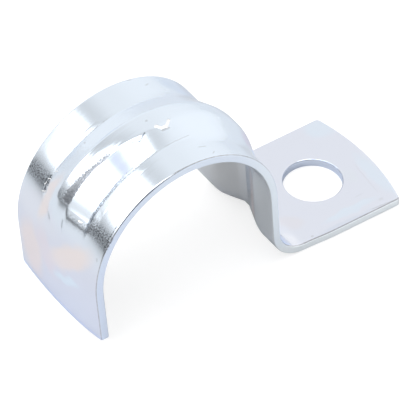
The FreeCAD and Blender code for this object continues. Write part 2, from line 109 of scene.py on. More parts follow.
class Tree:
    """A node tree with short calls for the nodes used here."""

    def __init__(self, owner):
        owner.use_nodes = True
        self.nodes = owner.node_tree.nodes
        self.links = owner.node_tree.links
        self.nodes.clear()

    def node(self, kind, **settings):
        made = self.nodes.new(kind)
        for name, value in settings.items():
            setattr(made, name, value)
        return made

    def feed(self, socket, value):
        """Links an output to the socket, or writes a plain value into it."""
        if isinstance(value, bpy.types.NodeSocket):
            self.links.new(value, socket)
        elif value is not None:
            socket.default_value = value

    def math(self, operation, first, second=None, third=None, clamp=False):
        made = self.node("ShaderNodeMath", operation=operation, use_clamp=clamp)
        for socket, value in zip(made.inputs, (first, second, third)):
            self.feed(socket, value)
        return made.outputs[0]

    def vector(self, operation, first, second=None):
        made = self.node("ShaderNodeVectorMath", operation=operation)
        self.feed(made.inputs[0], first)
        self.feed(made.inputs[1], second)
        scalar = operation in ("DOT_PRODUCT", "LENGTH", "DISTANCE")
        return made.outputs["Value" if scalar else "Vector"]

    def ramp(self, value, start, end, low=0.0, high=1.0):
        """A smooth step from low to high as the value goes from start to end."""
        made = self.node("ShaderNodeMapRange", interpolation_type="SMOOTHSTEP")
        for name, number in (("From Min", start), ("From Max", end), ("To Min", low), ("To Max", high)):
            self.feed(made.inputs[name], number)
        self.feed(made.inputs["Value"], value)
        return made.outputs["Result"]

    def band(self, value, start, end, soft):
        """One between start and end, nought outside, with soft sides."""
        rise = self.ramp(value, start - soft, start + soft)
        fall = self.ramp(value, end - soft, end + soft, 1.0, 0.0)
        return self.math("MULTIPLY", rise, fall)

    def mix(self, factor, first, second):
        """A colour between two colours."""
        made = self.node("ShaderNodeMix", data_type="RGBA")
        self.feed(made.inputs["Factor"], factor)
        for name, value in (("A", first), ("B", second)):
            socket = next(item for item in made.inputs if item.name == name and item.type == "RGBA")
            self.feed(socket, (*value, 1.0) if isinstance(value, tuple) else value)
        return next(item for item in made.outputs if item.type == "RGBA")

    def blend(self, factor, first, second):
        """A number between two numbers."""
        made = self.node("ShaderNodeMix", data_type="FLOAT")
        self.feed(made.inputs["Factor"], factor)
        for name, value in (("A", first), ("B", second)):
            self.feed(made.inputs[name], value)
        return made.outputs[0]

    def noise(self, place, scale, detail=2.0, roughness=0.5):
        made = self.node("ShaderNodeTexNoise")
        self.feed(made.inputs["Vector"], place)
        self.feed(made.inputs["Scale"], scale)
        self.feed(made.inputs["Detail"], detail)
        self.feed(made.inputs["Roughness"], roughness)
        return made.outputs["Fac"]

    def shifted(self, place, scale, reach):
        """The place, moved about by noise."""
        made = self.node("ShaderNodeTexNoise")
        self.feed(made.inputs["Vector"], place)
        self.feed(made.inputs["Scale"], scale)
        swing = self.vector("SUBTRACT", made.outputs["Color"], (0.5, 0.5, 0.5))
        return self.vector("ADD", place, self.vector("MULTIPLY", swing, (reach,) * 3))

    def split(self, vector):
        made = self.node("ShaderNodeSeparateXYZ")
        self.feed(made.inputs[0], vector)
        return made.outputs

    def join(self, *values):
        made = self.node("ShaderNodeCombineXYZ")
        for socket, value in zip(made.inputs, values):
            self.feed(socket, value)
        return made.outputs[0]

    def product(self, first, *others):
        for other in others:
            first = self.math("MULTIPLY", first, other)
        return first

    def total(self, first, *others):
        for other in others:
            first = self.math("ADD", first, other)
        return first


# Studio: sky, softbox and floor

SKY_LEVEL = 0.94
DARK_LEVEL = 0.17
SOFTBOX_LEVEL = 3.2
GAP_LEVEL = 0.88
GAP_TINT = (0.93, 0.95, 1.07)
# Pairs of directions in the planes through the softbox's edges, its cut corner and the gap in it
SOFTBOX_UPPER = (Vector((-0.19, 0.583, 0.79)), Vector((0.12, -0.155, 0.98)))
SOFTBOX_LOWER = (Vector((-0.758, 0.583, 0.291)), Vector((-0.920, -0.173, 0.350)))
SOFTBOX_CORNER = (Vector((-0.641, 0.622, 0.452)), Vector((-0.823, 0.553, 0.135)))
SOFTBOX_GAP = (Vector((-0.417, 0.583, 0.905)), Vector((-0.417, -0.213, 0.905)))
# Where each of them fades, as sines of the angle from its plane
UPPER_FADE = (-0.045, 0.03)
LOWER_FADE = (-0.07, 0.15)
CORNER_FADE = (-0.07, 0.05)
GAP_HALF, GAP_SOFT = 0.22, 0.15
# All other fades run along the east, north and rise of a direction
SOFTBOX_FRONT, SOFTBOX_BACK, SOFTBOX_SOFT = -0.45, 0.75, 0.08
GAP_FRONT = (-0.1, 0.15)
ROOM_NORTH, ROOM_EAST = (-0.75, -0.45), (-0.1, 0.4)
WALL_EAST, WALL_RISE = (-0.65, -0.45), (-0.05, 0.36)
WALL_FRONT, WALL_FRONT_SHARE = (0.1, 0.45), 0.35
WALL_BACK = (0.64, 0.8)
# The sky is shaded past the softbox's upper edge, and a little brighter at the back
SHADE_FADE, SHADE_RISE, SHADE_MOST = (0.0, 0.4), (0.3, 0.6), 0.34
LIFT_NORTH, LIFT_MOST = (0.5, 0.95), 0.06
# A second, weaker lamp on the right
FILL_WAY = Vector((0.86, 0.10, 0.50))
FILL_LEVEL = 0.12
FILL_INNER, FILL_OUTER = math.cos(math.radians(2)), math.cos(math.radians(44))


def edge_distance(tree, direction, edge):
    """Sine of the angle from the plane through an edge of the softbox."""
    normal = edge[0].cross(edge[1]).normalized()
    return tree.vector("DOT_PRODUCT", direction, tuple(normal))


def softbox_mask(tree, direction, beyond_upper):
    """One inside the softbox: a strip of sky with a cut corner."""
    north = tree.split(direction)[1]
    below_upper = tree.ramp(beyond_upper, *UPPER_FADE, 1.0, 0.0)
    above_lower = tree.ramp(edge_distance(tree, direction, SOFTBOX_LOWER), *LOWER_FADE)
    between = tree.band(north, SOFTBOX_FRONT, SOFTBOX_BACK, SOFTBOX_SOFT)
    before_corner = tree.ramp(edge_distance(tree, direction, SOFTBOX_CORNER), *CORNER_FADE)
    return tree.product(below_upper, above_lower, between, before_corner)


def gap_mask(tree, direction):
    """One in the gap between the softbox's two halves, which closes towards the back."""
    north = tree.split(direction)[1]
    gap = tree.band(edge_distance(tree, direction, SOFTBOX_GAP), -GAP_HALF, GAP_HALF, GAP_SOFT)
    return tree.product(gap, tree.ramp(north, *GAP_FRONT, 1.0, 0.0))


def dark_mask(tree, direction):
    """One where the room behind the camera and the wall under the softbox are dark."""
    east, north, rise = tree.split(direction)
    room = tree.product(tree.ramp(north, *ROOM_NORTH, 1.0, 0.0), tree.ramp(east, *ROOM_EAST, 1.0, 0.0))
    west = tree.ramp(east, *WALL_EAST, 1.0, 0.0)
    low = tree.ramp(rise, *WALL_RISE, 1.0, 0.0)
    front = tree.ramp(north, *WALL_FRONT, WALL_FRONT_SHARE, 1.0)
    back = tree.ramp(north, *WALL_BACK, 1.0, 0.0)
    wall = tree.product(west, low, tree.product(front, back))
    return tree.math("MAXIMUM", room, wall)


def sky_level(tree, direction, beyond_upper):
    """Level of the pale sky, with its shaded part, its brighter back and the second lamp."""
    east, north, rise = tree.split(direction)
    shade = tree.product(tree.ramp(beyond_upper, *SHADE_FADE, SHADE_MOST, 0.0), tree.ramp(rise, *SHADE_RISE))
    lift = tree.ramp(north, *LIFT_NORTH, 1.0, 1.0 + LIFT_MOST)
    sky = tree.product(tree.math("SUBTRACT", 1.0, shade), lift, SKY_LEVEL)
    toward_fill = tree.vector("DOT_PRODUCT", direction, tuple(FILL_WAY.normalized()))
    return tree.total(sky, tree.ramp(toward_fill, FILL_OUTER, FILL_INNER, 0.0, FILL_LEVEL))


def make_world():
    world = bpy.data.worlds.new("studio")
    bpy.context.scene.world = world
    tree = Tree(world)
    direction = tree.node("ShaderNodeTexCoord").outputs["Generated"]
    beyond_upper = edge_distance(tree, direction, SOFTBOX_UPPER)
    softbox = softbox_mask(tree, direction, beyond_upper)
    gap = gap_mask(tree, direction)
    sky = tree.blend(dark_mask(tree, direction), sky_level(tree, direction, beyond_upper), DARK_LEVEL)
    level = tree.blend(softbox, sky, tree.blend(gap, SOFTBOX_LEVEL, GAP_LEVEL))

    # the camera itself sees plain white
    seen = tree.node("ShaderNodeLightPath").outputs["Is Camera Ray"]
    background = tree.node("ShaderNodeBackground")
    tree.feed(background.inputs["Strength"], tree.blend(seen, level, 1.0))
    tree.feed(background.inputs["Color"], tree.mix(tree.product(gap, softbox), WHITE, GAP_TINT))
    output = tree.node("ShaderNodeOutputWorld")
    tree.feed(output.inputs["Surface"], background.outputs[0])


FLOOR_HALF = 1.5
FLOOR_CLEARANCE = 0.02 * MM
# What the camera sees: the paper's colour and its own glow, which come to white out of the shadow
FLOOR_SEEN, FLOOR_GLOW = 0.42, 0.68
# What the strap reflects: the lit paper, and the dark table past its end on the left
FLOOR_LIT, FLOOR_FAR = 0.66, 0.16
PAPER_NEAR, PAPER_END = -0.072, -0.22
# A painted shadow on the paper, behind the flange: a duller spot that only the strap's reflections show
SHADOW_SPOT = Vector((0.003, 0.032, 0.0))
SHADOW_SPOT_LEVEL, SHADOW_SPOT_INNER, SHADOW_SPOT_OUTER = 0.85, 0.012, 0.035


def make_paper():
    material = bpy.data.materials.new("paper")
    tree = Tree(material)
    place = tree.node("ShaderNodeTexCoord").outputs["Object"]
    away = tree.vector("SUBTRACT", place, tuple(SHADOW_SPOT))
    from_shadow_spot = tree.vector("LENGTH", tree.vector("MULTIPLY", away, IN_PLAN))
    lit = tree.ramp(tree.split(place)[0], PAPER_END, PAPER_NEAR, FLOOR_FAR, FLOOR_LIT)
    # the painted shadow behind the flange darkens the reflected paper
    lit = tree.product(lit, tree.ramp(from_shadow_spot, SHADOW_SPOT_INNER, SHADOW_SPOT_OUTER, SHADOW_SPOT_LEVEL, 1.0))
    seen = tree.node("ShaderNodeLightPath").outputs["Is Camera Ray"]
    albedo = tree.blend(seen, lit, FLOOR_SEEN)
    diffuse = tree.node("ShaderNodeBsdfDiffuse")
    tree.feed(diffuse.inputs["Color"], tree.join(albedo, albedo, albedo))
    glow = tree.node("ShaderNodeEmission")
    tree.feed(glow.inputs["Strength"], tree.product(seen, FLOOR_GLOW))
    both = tree.node("ShaderNodeAddShader")
    tree.feed(both.inputs[0], diffuse.outputs[0])
    tree.feed(both.inputs[1], glow.outputs[0])
    output = tree.node("ShaderNodeOutputMaterial")
    tree.feed(output.inputs["Surface"], both.outputs[0])
    return material


def make_floor():
    mesh = bpy.data.meshes.new("floor")
    corners = [(-1, -1), (1, -1), (1, 1), (-1, 1)]
    level = LOWEST[2] - FLOOR_CLEARANCE
    mesh.from_pydata([(x * FLOOR_HALF, y * FLOOR_HALF, level) for x, y in corners], [], [(0, 1, 2, 3)])
    mesh.materials.append(make_paper())
    floor = bpy.data.objects.new("floor", mesh)
    bpy.context.collection.objects.link(floor)


# Zinc plate: colours

ARCH_ZINC = (0.80, 0.875, 0.96)
FLANGE_ZINC = (0.775, 0.805, 0.89)
COOL = (0.765, 0.80, 0.90)
BLUE = (0.66, 0.74, 0.96)
# The inside is painted darker than the outside, as shade inside the arch, and lighter at its front, as
# painted light
INSIDE_SHADED_ZINC = (0.70, 0.72, 0.745)
INSIDE_FRONT_LIT = (0.84, 0.88, 0.91)
INSIDE_WARM = (0.93, 0.83, 0.80)
# The cut faces of the sheet, painted darker at the foot and lighter on the leg and near the floor as painted
# shade and light, the hole's wall and rim, and the line on the front edge
SHEARED = (0.77, 0.85, 0.97)
SHEARED_FOOT_SHADED = (0.74, 0.83, 1.0)
SHEARED_LEG_LIT = (0.84, 0.92, 1.0)
SHEARED_LOW_LIT = (0.91, 0.965, 1.0)
HOLE_WALL = (0.76, 0.83, 0.97)
RIM = (0.42, 0.48, 0.60)
EDGE_LINE = (0.34, 0.33, 0.35)
# Pale interference colours of the passivated zinc, and a painted highlight for the inner corner of the bend
SILVER = (0.81, 0.845, 0.925)
PEACH = (0.89, 0.81, 0.81)
LAVENDER = (0.84, 0.78, 0.84)
WARM = (0.90, 0.83, 0.82)
ICE = (0.78, 0.89, 0.98)
VIOLET = (0.80, 0.70, 0.90)
SKY_BLUE = (0.70, 0.80, 0.94)
BLUISH = (0.755, 0.835, 0.93)
BEND_CORNER_HIGHLIGHT = (0.86, 0.88, 0.94)
LILAC = (0.79, 0.785, 0.84)
MIST = (0.77, 0.81, 0.88)
SLATE = (0.68, 0.73, 0.83)
# Bright, scraped and galled metal; the galled greys also paint a dark reflection along the crest's front,
# and the fleck grey also paints the shade under the bright tick
BRIGHT = WHITE
FLECK_AND_SHADE = (0.52, 0.54, 0.58)
WORN_AND_PAINTED_DARK = (0.34, 0.36, 0.39)
SCRAPED = (0.25, 0.30, 0.37)
DENT = (0.17, 0.20, 0.25)
GALLED_AND_PAINTED_DARK = (0.11, 0.12, 0.14)
SHINE_TINT = (0.92, 0.95, 1.0, 1.0)


# Zinc plate: places on the strip, in millimetres from the top of the arch and from its middle.
# Two values are where a fade starts and ends, and three are a band's start, end and softness.

# The outside of the strip in the side view, about the conduit's axis
ARC = SEAT_RADIUS + THICKNESS
SHOULDER_RADIUS = 15.4 + THICKNESS
RUNOUT_RADIUS = 5.8
RIB_END = math.radians(59)
FOOT_LEAN = math.radians(5.7)
RIB_END_WAY = Vector((-math.sin(RIB_END), 0, math.cos(RIB_END)))
RUNOUT_MIDDLE = (ARC - RUNOUT_RADIUS) * RIB_END_WAY
SHOULDER_MIDDLE = (ARC - SHOULDER_RADIUS) * RIB_END_WAY
FOOT_WAY = Vector((-math.cos(FOOT_LEAN), 0, -math.sin(FOOT_LEAN)))
FOOT_TOP = SHOULDER_MIDDLE + SHOULDER_RADIUS * FOOT_WAY
FOOT_START = ARC * math.atan2(FOOT_TOP.x, FOOT_TOP.z)
LEG_SIDE = 10.0
FLANGE_START = 18.0
FLANGE_FADE = (17.0, 20.0)
FRONT_SIDE = -9.5
# Places along the flange are counted from this value at the hole's centre
FLANGE = 100.0

# The modelled rib's section: half of its flat, then crest arc, flank and root arc going outwards
RIB_MIDDLE = -0.4
RIB_HEIGHT = 1.63
FLANK_TURN, FOOT_TURN = math.radians(20), math.radians(3)
RIB_SLOPE = math.tan(FLANK_TURN)
CREST_HALF, CREST_RADIUS, ROOT_RADIUS = 0.6, 3.4, 4.0
CREST_RUN = CREST_RADIUS * math.sin(FLANK_TURN)
CREST_DROP = CREST_RADIUS * (1 - math.cos(FLANK_TURN))
ROOT_HALF = ROOT_RADIUS * math.sin(FLANK_TURN)
ROOT_RUN = ROOT_HALF - ROOT_RADIUS * math.sin(FOOT_TURN)
ROOT_DROP = ROOT_RADIUS * (math.cos(FOOT_TURN) - math.cos(FLANK_TURN))
FLANK_RUN = (RIB_HEIGHT - CREST_DROP - ROOT_DROP) / RIB_SLOPE
# Where the flank's straight line would meet the strip
RIB_FOOT = CREST_HALF + CREST_RUN + (RIB_HEIGHT - CREST_DROP) / RIB_SLOPE

# How far a face is turned to the side or up before it counts as such
SIDE_FACING = (0.6, 0.9)
EDGE_FACING = (0.3, 0.7, 0.15)
RIM_FACING = (0.15, 0.4)
UP_FACING = (-0.1, 0.3)
# How far a face's plane lies from the conduit's axis, which tells the outside from the inside
OUTSIDE_REACH = (2.0, 5.0)
# How far from the screw hole's wall a place still belongs to it
BORE_NEAR, BORE_FAR = 0.02, 0.12
# Noise that makes the outlines of tints and strokes uneven: scale and reach
RAGGED = (0.4, 1.6)
SCRATCHY = (2.5, 0.3)
# Where a tint fades, as a share of its half axes, and a stroke, as a share of its width
PATCH_FADE = (0.45, 1.15)
STROKE_FADE = (0.3, 0.7)

# Each tint is a ragged oval: middle and half axes along and across, and tilt in degrees
TINTS = (
    {"middle": (-21.5, 5.0), "half": (3.6, 6.5), "tilt": 0, "colour": SILVER, "strength": 0.9},
    {"middle": (-30.5, 7.0), "half": (6.6, 3.2), "tilt": 0, "colour": PEACH, "strength": 1.0},
    {"middle": (-28.0, 3.0), "half": (5.0, 2.4), "tilt": 15, "colour": LAVENDER, "strength": 0.8},
    {"middle": (-24.6, -3.0), "half": (7.4, 2.3), "tilt": -50, "colour": WARM, "strength": 1.0},
    {"middle": (-29.9, -2.0), "half": (4.0, 1.1), "tilt": -63, "colour": ICE, "strength": 1.0},
    {"middle": (-18.5, 3.9), "half": (5.0, 1.3), "tilt": -10, "colour": WARM, "strength": 0.9},
    {"middle": (18.0, -3.5), "half": (2.6, 1.6), "tilt": 20, "colour": VIOLET, "strength": 0.6},
    {"middle": (13.0, 7.0), "half": (6.0, 2.6), "tilt": -25, "colour": SKY_BLUE, "strength": 0.7},
    {"middle": (FLANGE + 7.3, 8.7), "half": (2.5, 2.5), "tilt": 0, "colour": BLUISH, "strength": 0.8},
    {"middle": (FLANGE + 8.6, -4.5), "half": (1.6, 6.0), "tilt": 0, "colour": BLUISH, "strength": 0.8},
    {"middle": (FLANGE + 0.8, -8.3), "half": (5.5, 0.9), "tilt": 0, "colour": BLUISH, "strength": 0.8},
    # a painted highlight in the inner corner of the bend, by the front edge
    {"middle": (FLANGE - 10.4, -8.6), "half": (1.6, 2.2), "tilt": 0, "colour": BEND_CORNER_HIGHLIGHT, "strength": 0.8},
    {"middle": (FLANGE - 7.9, -5.5), "half": (1.8, 2.2), "tilt": 45, "colour": LILAC, "strength": 0.6},
    {"middle": (FLANGE + 5.2, -2.2), "half": (1.2, 2.0), "tilt": 0, "colour": MIST, "strength": 0.8},
    {"middle": (FLANGE - 1.2, -10.2), "half": (6.0, 0.6), "tilt": 0, "colour": SLATE, "strength": 0.6},
)
# Marks of handling: scratches, specks and the die's scrapes, and a painted shade under one tick
MARKS = (
    # the bright tick on the crest, and the painted shade under it
    {"start": (0.0, -1.95), "end": (0.5, -2.55), "width": 0.45, "colour": BRIGHT, "strength": 1.0},
    {"start": (0.5, -2.55), "end": (1.3, -2.6), "width": 0.5, "colour": BRIGHT, "strength": 1.0},
    {"start": (1.3, -2.6), "end": (2.1, -1.85), "width": 0.45, "colour": BRIGHT, "strength": 1.0},
    {"start": (0.4, -2.95), "end": (1.5, -2.95), "width": 0.24, "colour": FLECK_AND_SHADE, "strength": 0.5},
    # a finer, dark tick in the highlight
    {"start": (-4.2, -2.2), "end": (-3.2, -2.75), "width": 0.26, "colour": DENT, "strength": 0.8},
    {"start": (-3.2, -2.75), "end": (-2.0, -2.1), "width": 0.26, "colour": DENT, "strength": 0.8},
    # specks on the arch
    {"start": (3.8, -7.4), "end": (4.9, -7.55), "width": 0.24, "colour": FLECK_AND_SHADE, "strength": 0.35},
    {"start": (5.0, -9.3), "end": (5.4, -9.0), "width": 0.24, "colour": FLECK_AND_SHADE, "strength": 0.4},
    {"start": (5.2, 8.0), "end": (5.8, 8.2), "width": 0.24, "colour": FLECK_AND_SHADE, "strength": 0.3},
    {"start": (3.2, 9.9), "end": (3.7, 9.8), "width": 0.24, "colour": FLECK_AND_SHADE, "strength": 0.4},
    {"start": (-0.6, -0.4), "end": (-0.5, -0.3), "width": 0.34, "colour": FLECK_AND_SHADE, "strength": 0.4},
    {"start": (-8.7, 3.8), "end": (-8.6, 4.0), "width": 0.26, "colour": FLECK_AND_SHADE, "strength": 0.4},
    {"start": (-20.4, -9.2), "end": (-20.2, -9.1), "width": 0.36, "colour": FLECK_AND_SHADE, "strength": 0.5},
    # the crease at the rib's front foot, and galled metal at its back foot and on the front edge
    {"start": (-0.6, -5.2), "end": (3.6, -4.95), "width": 0.14, "colour": FLECK_AND_SHADE, "strength": 0.4},
    {"start": (-18.1, 5.4), "end": (-15.9, 5.45), "width": 0.9, "colour": GALLED_AND_PAINTED_DARK, "strength": 0.95},
    {"start": (-18.3, -9.75), "end": (-12.3, -9.7), "width": 0.2, "colour": GALLED_AND_PAINTED_DARK, "strength": 0.9},
    # bright scratches in the galled metal and the run-out
    {"start": (-18.5, 5.7), "end": (-18.1, 5.1), "width": 0.15, "colour": BRIGHT, "strength": 1.0},
    {"start": (-17.4, 5.9), "end": (-16.9, 5.7), "width": 0.14, "colour": BRIGHT, "strength": 1.0},
    {"start": (-16.3, 5.7), "end": (-16.0, 5.1), "width": 0.14, "colour": BRIGHT, "strength": 1.0},
    {"start": (-14.6, 5.1), "end": (-14.3, 4.6), "width": 0.15, "colour": BRIGHT, "strength": 1.0},
    {"start": (-17.3, -3.8), "end": (-17.1, -4.3), "width": 0.2, "colour": BRIGHT, "strength": 1.0},
    # faint scrapes on the flange
    {"start": (FLANGE + 3.65, -9.97), "end": (FLANGE + 8.15, -10.36),
     "width": 0.2, "colour": FLECK_AND_SHADE, "strength": 0.5},
    {"start": (FLANGE + 5.8, -9.0), "end": (FLANGE + 6.2, -9.0),
     "width": 0.5, "colour": FLECK_AND_SHADE, "strength": 0.15},
    {"start": (FLANGE + 7.1, -0.9), "end": (FLANGE + 6.5, -7.3),
     "width": 0.16, "colour": FLECK_AND_SHADE, "strength": 0.12},
    {"start": (FLANGE + 3.1, -6.5), "end": (FLANGE + 4.6, -6.5),
     "width": 0.16, "colour": FLECK_AND_SHADE, "strength": 0.15},
    {"start": (FLANGE - 7.1, -9.6), "end": (FLANGE - 6.9, -9.6),
     "width": 0.3, "colour": FLECK_AND_SHADE, "strength": 0.4},
)


class Strip:
    """Where a shaded point lies on the strip, as sockets."""

    def __init__(self, tree):
        self.tree = tree
        centred = tree.vector("SUBTRACT", tree.node("ShaderNodeTexCoord").outputs["Object"], tuple(AXIS))
        self.place = tree.vector("MULTIPLY", centred, (1 / MM,) * 3)
        self.x, self.across, self.z = tree.split(self.place)
        self.measure_along()
        self.flat = tree.join(self.along, self.across, 0.0)
        self.ragged = tree.shifted(self.flat, *RAGGED)
        self.scratchy = tree.shifted(self.flat, *SCRATCHY)
        normal = tree.split(tree.node("ShaderNodeNewGeometry").outputs["Normal"])
        self.find_outside(normal)
        self.find_edges(normal)

    def measure_along(self):
        """Place along the strip: as an arc throughout, and with the flange counted from the hole."""
        tree = self.tree
        arc = tree.math("MULTIPLY", tree.math("ARCTAN2", self.x, self.z), ARC)
        foot = tree.total(self.z, FOOT_START - FOOT_TOP.z)
        left = tree.math("LESS_THAN", self.x, 0.0)
        on_foot = tree.product(left, tree.math("LESS_THAN", self.z, FOOT_TOP.z))
        self.arch = tree.blend(on_foot, arc, foot)
        on_flange = tree.math("GREATER_THAN", self.x, FLANGE_START)
        self.along = tree.blend(on_flange, self.arch, tree.total(self.x, AXIS.x / MM + FLANGE))
        self.flange = tree.ramp(self.x, *FLANGE_FADE)

    def find_outside(self, normal):
        """One on the outside: away from the conduit, or on the leg and the flange upwards."""
        tree = self.tree
        radial = tree.total(tree.product(normal[0], self.x), tree.product(normal[2], self.z))
        outward = tree.ramp(radial, *OUTSIDE_REACH)
        upward = tree.ramp(tree.math("ADD", normal[0], normal[2]), *UP_FACING)
        self.outside = tree.blend(tree.math("GREATER_THAN", self.x, LEG_SIDE), outward, upward)

    def find_edges(self, normal):
        """The hole's wall and rim, the cut faces and the rolled front edge."""
        tree = self.tree
        from_hole = tree.vector("SUBTRACT", self.place, tuple(-AXIS / MM))
        from_hole = tree.vector("LENGTH", tree.vector("MULTIPLY", from_hole, IN_PLAN))
        self.bore = tree.ramp(from_hole, HOLE_RADIUS + BORE_NEAR, HOLE_RADIUS + BORE_FAR, 1.0, 0.0)
        self.rim = tree.product(self.bore, tree.ramp(tree.math("ABSOLUTE", normal[2]), *RIM_FACING))
        sides = tree.ramp(tree.math("ABSOLUTE", normal[1]), *SIDE_FACING)
        self.sheared = tree.math("MAXIMUM", sides, self.bore)
        edge = tree.band(tree.math("MULTIPLY", normal[1], -1.0), *EDGE_FACING)
        self.front_edge = tree.product(edge, tree.math("LESS_THAN", self.across, FRONT_SIDE))

    def stretch(self, start, end, soft):
        """One between two places along the arc."""
        return self.tree.band(self.along, start, end, soft)

    def patch(self, middle, half, tilt):
        """A soft ragged oval on the strip, tilted by an angle in degrees."""
        tree = self.tree
        turn = math.radians(tilt)
        away = tree.vector("SUBTRACT", self.ragged, (*middle, 0.0))
        forward = (math.cos(turn) / half[0], math.sin(turn) / half[0], 0.0)
        sideways = (-math.sin(turn) / half[1], math.cos(turn) / half[1], 0.0)
        ahead = tree.vector("DOT_PRODUCT", away, forward)
        aside = tree.vector("DOT_PRODUCT", away, sideways)
        return tree.ramp(tree.vector("LENGTH", tree.join(ahead, aside, 0.0)), *PATCH_FADE, 1.0, 0.0)

    def stroke(self, start, end, width):
        """A thin straight mark between two places."""
        tree = self.tree
        run = Vector(end) - Vector(start)
        away = tree.vector("SUBTRACT", self.scratchy, (*start, 0.0))
        share = tree.vector("DOT_PRODUCT", away, (*(run / run.length_squared), 0.0))
        share = tree.math("MINIMUM", tree.math("MAXIMUM", share, 0.0), 1.0)
        nearest = tree.join(tree.product(share, run[0]), tree.product(share, run[1]), 0.0)
        apart = tree.vector("DISTANCE", away, nearest)
        inner, outer = STROKE_FADE
        return tree.ramp(apart, width * inner, width * outer, 1.0, 0.0)


# Zinc plate: fine forms that the solid leaves out, as heights in millimetres

RIB_ROUND = 0.32


def from_rib_middle(tree, strip):
    return tree.math("ABSOLUTE", tree.math("SUBTRACT", strip.across, RIB_MIDDLE))


def modelled_rib(tree, strip):
    """Height of the rib as it is modelled, running on under the strip."""
    flank = tree.product(tree.math("SUBTRACT", RIB_FOOT, from_rib_middle(tree, strip)), RIB_SLOPE)
    return tree.math("SMOOTH_MIN", flank, RIB_HEIGHT, RIB_ROUND)


def run_past(tree, value, start, length):
    """How far a value is past a start, kept between nought and a length."""
    past = tree.math("MAXIMUM", tree.math("SUBTRACT", value, start), 0.0)
    return tree.math("MINIMUM", past, length)


def arc_height(tree, radius, from_middle):
    """Height of an arc of a radius over its centre."""
    return tree.math("SQRT", tree.math("SUBTRACT", radius ** 2, tree.math("POWER", from_middle, 2.0)))


def rib_section(tree, strip):
    """The modelled rib's exact height over the strip: crest arc, flank and root arc."""
    away = from_rib_middle(tree, strip)
    on_crest = run_past(tree, away, CREST_HALF, CREST_RUN)
    on_flank = run_past(tree, away, CREST_HALF + CREST_RUN, FLANK_RUN)
    on_root = run_past(tree, away, CREST_HALF + CREST_RUN + FLANK_RUN, ROOT_RUN)
    crest = arc_height(tree, CREST_RADIUS, on_crest)
    root = arc_height(tree, ROOT_RADIUS, tree.math("SUBTRACT", ROOT_HALF, on_root))
    root_start = math.sqrt(ROOT_RADIUS ** 2 - ROOT_HALF ** 2)
    drop = tree.total(tree.product(on_flank, RIB_SLOPE), root, -root_start)
    return tree.math("SUBTRACT", tree.total(crest, RIB_HEIGHT - CREST_RADIUS), drop)


# Where the die's rib has its feet and the edges of its crest, before and after they drift
FRONT_FOOT = -5.3
DRIFT = (-13.0, 0.0)
FRONT_CREST, BACK_CREST = (-1.35, -1.95), (1.7, 1.2)
BACK_DRIFT, BACK_FOOT = (-19.0, -8.0), (5.35, 4.65)
CRISP_CREST, CRISP_FOOT = 0.16, 0.12
# Where the crisp rib takes over from the modelled one, and where it gives way again
CRISP_START, CRISP_END = (-18.4, -15.9), (1.0, 9.0)


def pressed_rib(tree, strip):
    """Height of the rib as the die left it: crisper, steeper behind, and drifting to the front."""
    front_crest = tree.ramp(strip.along, *DRIFT, *FRONT_CREST)
    back_crest = tree.ramp(strip.along, *DRIFT, *BACK_CREST)
    back_foot = tree.ramp(strip.along, *BACK_DRIFT, *BACK_FOOT)
    front = tree.math("DIVIDE", tree.total(strip.across, -FRONT_FOOT), tree.total(front_crest, -FRONT_FOOT))
    back_run = tree.math("SUBTRACT", back_foot, back_crest)
    back = tree.math("DIVIDE", tree.math("SUBTRACT", back_foot, strip.across), back_run)
    flanks = tree.product(tree.math("MINIMUM", front, back), RIB_HEIGHT)
    return tree.math("SMOOTH_MIN", flanks, RIB_HEIGHT, CRISP_CREST)


def crispness(tree, strip):
    """What the crisp rib adds to the modelled one."""
    crisp = tree.math("SMOOTH_MAX", pressed_rib(tree, strip), 0.0, CRISP_FOOT)
    added = tree.math("SUBTRACT", crisp, rib_section(tree, strip))
    from_runout = tree.ramp(strip.along, *CRISP_START)
    to_bend = tree.ramp(strip.along, *CRISP_END, 1.0, 0.0)
    return tree.product(added, from_runout, to_bend, strip.outside)


# Half of the crest, and how wide the crease is rounded there and at the flanks' foot
RUNOUT_CREST = 1.5
RUNOUT_BLEND, RUNOUT_BLEND_FOOT = 1.2, 0.4


def soft_runout(tree, strip):
    """Rounds the crease where the sinking rib meets the shoulder and the foot."""
    level = tree.vector("MULTIPLY", strip.place, IN_PROFILE)
    shoulder = tree.vector("DISTANCE", level, tuple(SHOULDER_MIDDLE))
    shoulder = tree.math("SUBTRACT", shoulder, SHOULDER_RADIUS)
    foot = tree.vector("DOT_PRODUCT", tree.vector("SUBTRACT", level, tuple(FOOT_TOP)), tuple(FOOT_WAY))
    base = tree.math("MAXIMUM", shoulder, foot)
    rib = tree.math("SUBTRACT", tree.vector("DISTANCE", level, tuple(RUNOUT_MIDDLE)), RUNOUT_RADIUS)
    rib = tree.math("SUBTRACT", rib, modelled_rib(tree, strip))
    apart = tree.math("MAXIMUM", base, rib)
    away = from_rib_middle(tree, strip)
    blend = tree.ramp(away, RUNOUT_CREST, RIB_FOOT, RUNOUT_BLEND, RUNOUT_BLEND_FOOT)
    left = tree.math("MAXIMUM", tree.math("SUBTRACT", blend, apart), 0.0)
    rounding = tree.math("DIVIDE", tree.math("POWER", left, 2.0), tree.product(blend, 4.0))
    return tree.product(rounding, strip.outside)


# Where a band begins beside the rib, and the middles of the front and the back one
BAND_START = 5.3
BAND_SIDES, BAND_MIDDLES = (-1.0, 1.0), (8.5, 7.3)
BAND_BULGE = 40.0
BULGE_STRETCH = (-24.0, -9.5, 2.5)


